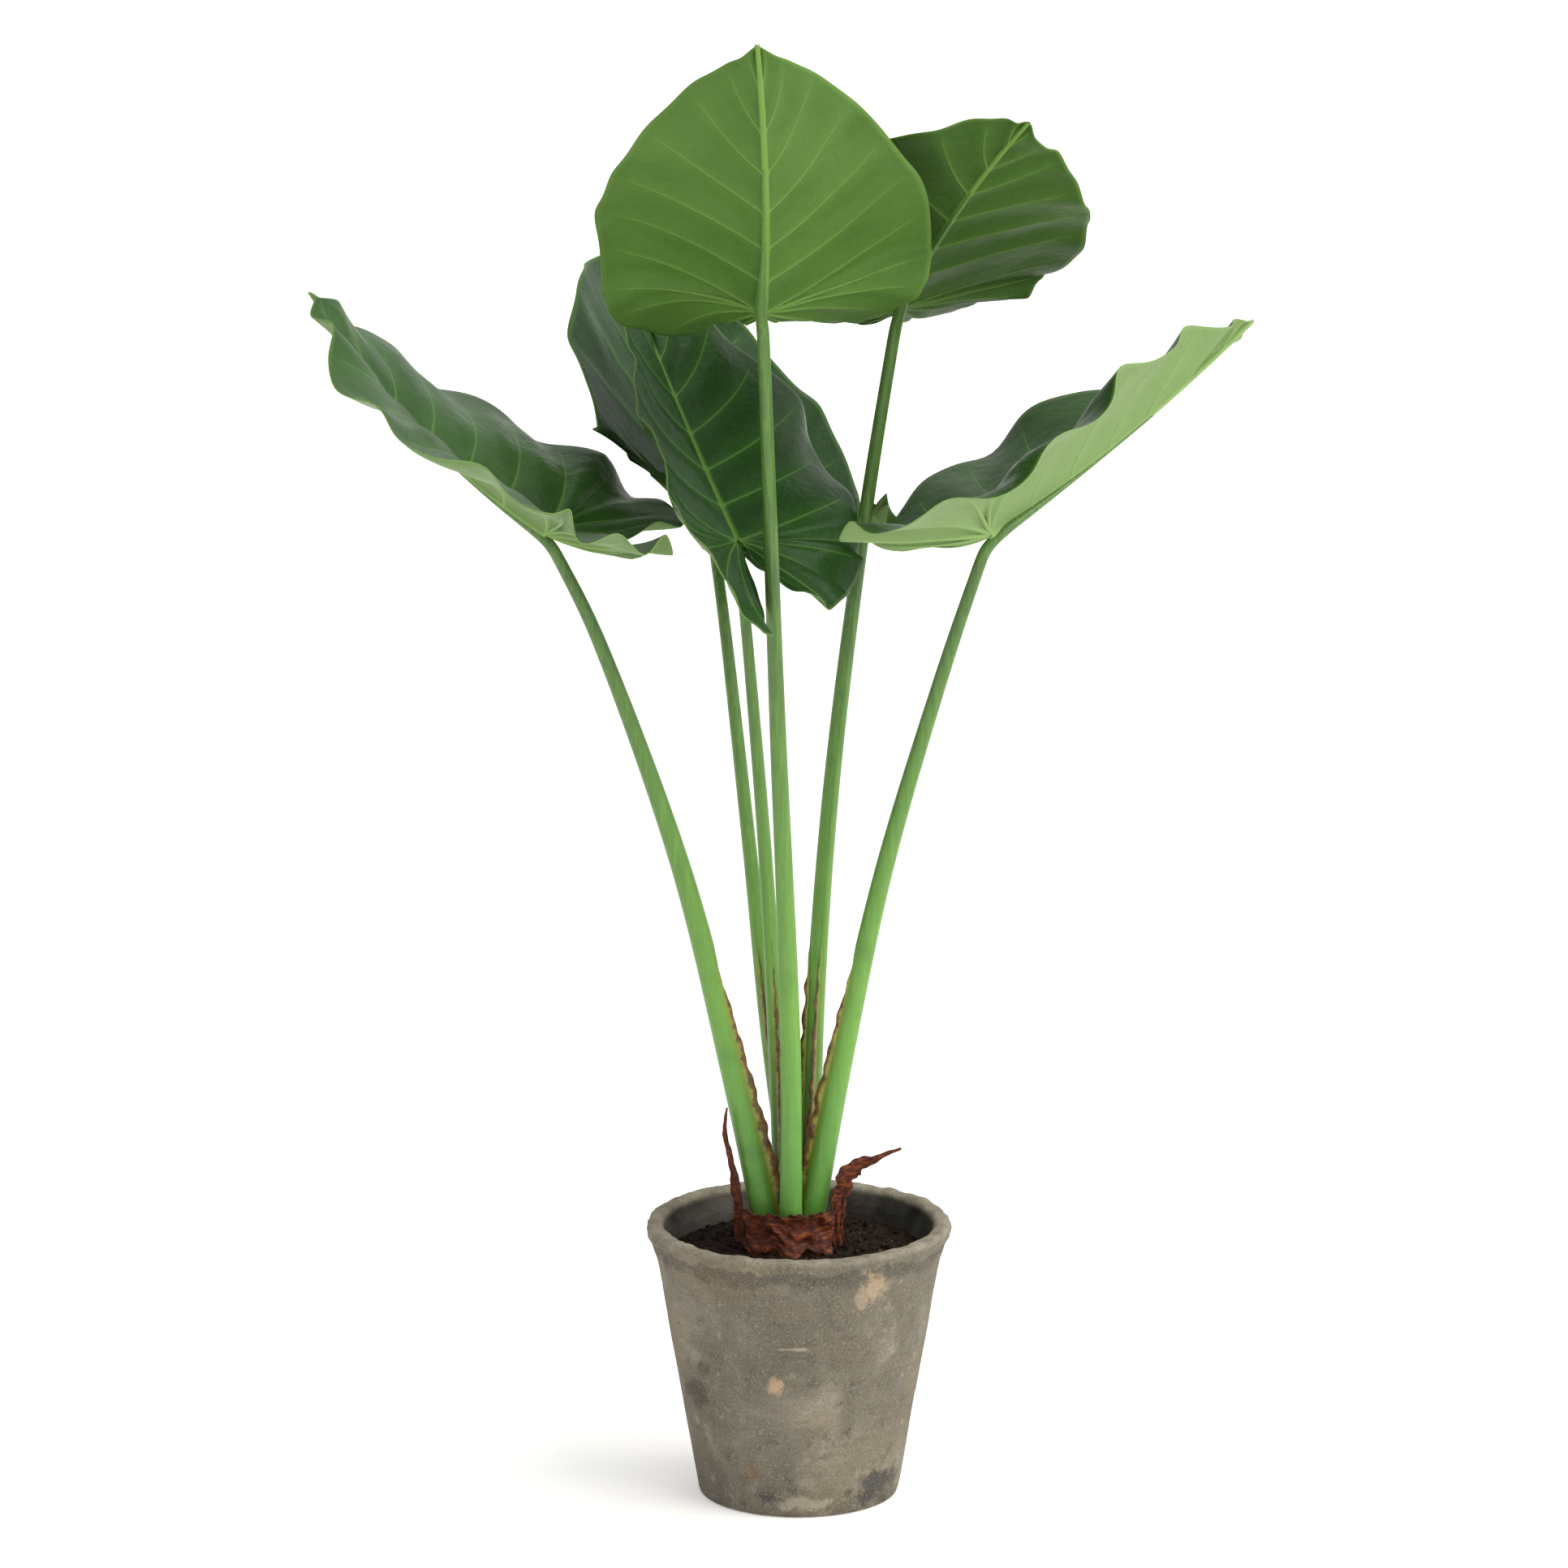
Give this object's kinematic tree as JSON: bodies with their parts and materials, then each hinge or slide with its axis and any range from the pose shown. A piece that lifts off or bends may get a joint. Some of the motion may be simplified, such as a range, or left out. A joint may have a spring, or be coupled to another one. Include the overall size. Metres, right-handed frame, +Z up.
{
  "type": "potted alocasia",
  "caption": "Elephant-ear plant with tall stalks and broad arrow-shaped leaves, standing in a tapered clay pot of compost.",
  "frame": {"origin": "centre of the pot's flat foot, on the surface that it stands on", "axes": "+Z up; the plant is seen from -Y, with its wide leaves out along +X and -X"},
  "size_m": [0.7694, 0.6533, 1.231],
  "materials": {
    "weathered_clay": "matte",
    "compost": "matte",
    "stem_base": "matte",
    "stalk_green": "satin",
    "leaf_green": "satin",
    "dried_sheath": "matte"
  },
  "bodies": {
    "root": {"clay_pot": "weathered_clay", "potting_soil": "compost", "corm": "stem_base", "petiole_a": "stalk_green", "petiole_b": "stalk_green", "petiole_c": "stalk_green", "petiole_d": "stalk_green", "petiole_e": "stalk_green", "petiole_f": "stalk_green", "blade_a": "leaf_green", "blade_b": "leaf_green", "blade_c": "leaf_green", "blade_d": "leaf_green", "blade_e": "leaf_green", "blade_f": "leaf_green", "sheath_front": "dried_sheath", "sheath_left": "dried_sheath", "sheath_right": "dried_sheath"}
  },
  "joints": []
}
